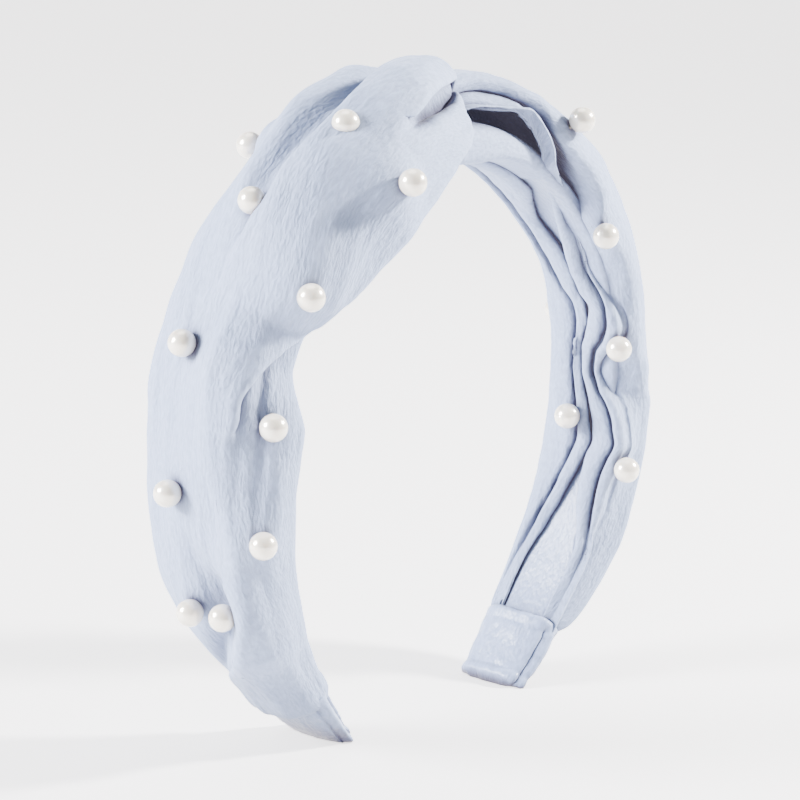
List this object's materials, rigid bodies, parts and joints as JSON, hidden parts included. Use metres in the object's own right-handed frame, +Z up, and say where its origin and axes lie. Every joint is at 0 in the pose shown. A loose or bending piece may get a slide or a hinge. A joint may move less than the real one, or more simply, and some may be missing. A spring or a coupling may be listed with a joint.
{
  "type": "headband",
  "caption": "Wide knotted fabric headband on a springy plastic hoop, with round pearls riveted to the pleated scarf halves and a twisted knot over the crown.",
  "frame": {"origin": "on the floor, midway between the two tips on which the headband stands", "axes": "+Z up towards the knot, +X towards the wearer's right side as seen from the front half, +Y from the front edge to the back edge"},
  "size_m": [0.1487, 0.0573, 0.1483],
  "materials": {
    "crepe": "satin-back crepe, matt side out, with a fine lengthwise crinkle",
    "satin": "soft satin sheen",
    "core_plastic": "plain",
    "pearl": "pearlescent ivory",
    "rivet_metal": "dark",
    "glue": "clear to cream"
  },
  "bodies": {
    "crown": {"core_crown": "core_plastic", "lining_crown": "satin", "knot_upper_lobe": "crepe", "knot_lower_lobe": "crepe", "knot_underwrap": "crepe", "knot_tail": "crepe", "crown_glue_pad": "glue"},
    "left_leg": {"core_left": "core_plastic", "lining_left": "satin", "scarf_left": "crepe", "tip_cap_left": "satin", "tip_glue_left": "glue", "pearl_rivets_left": "rivet_metal", "pearl_left_01": "pearl", "pearl_left_02": "pearl", "pearl_left_03": "pearl", "pearl_left_04": "pearl", "pearl_left_05": "pearl", "pearl_left_06": "pearl", "pearl_left_07": "pearl", "pearl_left_08": "pearl", "pearl_left_09": "pearl", "pearl_left_10": "pearl", "pearl_left_11": "pearl"},
    "right_leg": {"core_right": "core_plastic", "lining_right": "satin", "scarf_right": "crepe", "tip_cap_right": "satin", "tip_glue_right": "glue", "pearl_rivets_right": "rivet_metal", "pearl_right_01": "pearl", "pearl_right_02": "pearl", "pearl_right_03": "pearl", "pearl_right_04": "pearl", "pearl_right_05": "pearl", "pearl_right_06": "pearl", "pearl_right_07": "pearl"}
  },
  "joints": [
    {"name": "left_flex", "type": "hinge", "parent": "crown", "child": "left_leg", "pos_m": [-0.01697, 0, 0.12655], "axis": [0, 1, 0], "range_deg": [-4, 12], "stiffness_Nm_per_rad": 1.2},
    {"name": "right_flex", "type": "hinge", "parent": "crown", "child": "right_leg", "pos_m": [0.01697, 0, 0.12655], "axis": [0, -1, 0], "range_deg": [-4, 12], "stiffness_Nm_per_rad": 1.2}
  ]
}
